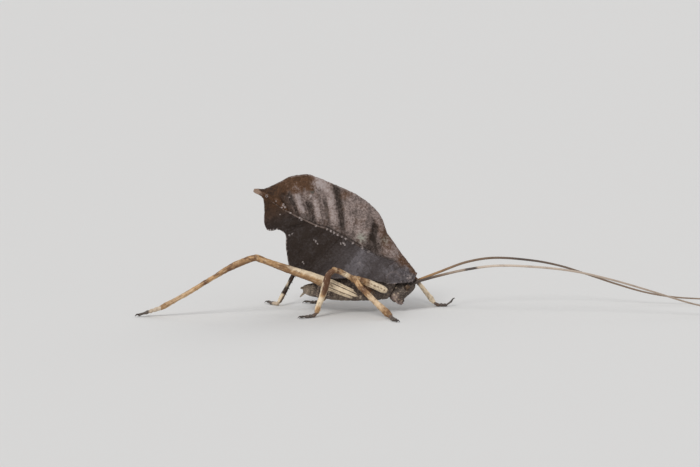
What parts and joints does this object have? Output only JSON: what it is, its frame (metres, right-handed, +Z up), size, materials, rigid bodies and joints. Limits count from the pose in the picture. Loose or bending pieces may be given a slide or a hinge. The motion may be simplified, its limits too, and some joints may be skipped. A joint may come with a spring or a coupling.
{
  "type": "leaf-mimic katydid",
  "caption": "Life-size insect standing on its feet, with tall forewings shaped like a dead leaf, a saddle-shaped shield, thin legs and long feelers.",
  "frame": {"origin": "on the floor under the centre of the bounding box, feelers included", "axes": "+X the way the head points, +Y the insect's left side, +Z up from the floor its feet stand on"},
  "size_m": [0.1202, 0.0304, 0.0279],
  "materials": {
    "wing": "matte, like a dry leaf",
    "shield": "matte and grained",
    "body": "matte and speckled",
    "head": "satin",
    "eye": "glossy",
    "leg": "satin, like bark",
    "foot": "satin",
    "feeler": "satin"
  },
  "bodies": {
    "root": {"forewing_left": "wing", "forewing_right": "wing", "hindwings": "wing", "pronotum": "shield", "thorax": "body", "abdomen": "body", "subgenital_plate": "body", "cercus_left": "body", "cercus_right": "body", "head": "head", "eye_left": "eye", "palp_left": "leg", "antenna_left_base": "feeler", "antenna_left_1": "feeler", "antenna_left_2": "feeler", "antenna_left_3": "feeler", "coxa_fore_left": "body", "femur_fore_left": "leg", "tibia_fore_left": "leg", "tarsus_fore_left": "foot", "coxa_mid_left": "body", "femur_mid_left": "leg", "tibia_mid_left": "leg", "tarsus_mid_left": "foot", "coxa_hind_left": "body", "femur_hind_left": "leg", "tibia_hind_left": "leg", "tarsus_hind_left": "foot", "eye_right": "eye", "palp_right": "leg", "antenna_right_base": "feeler", "antenna_right_1": "feeler", "antenna_right_2": "feeler", "antenna_right_3": "feeler", "coxa_fore_right": "body", "femur_fore_right": "leg", "tibia_fore_right": "leg", "tarsus_fore_right": "foot", "coxa_mid_right": "body", "femur_mid_right": "leg", "tibia_mid_right": "leg", "tarsus_mid_right": "foot", "coxa_hind_right": "body", "femur_hind_right": "leg", "tibia_hind_right": "leg", "tarsus_hind_right": "foot"}
  },
  "joints": []
}
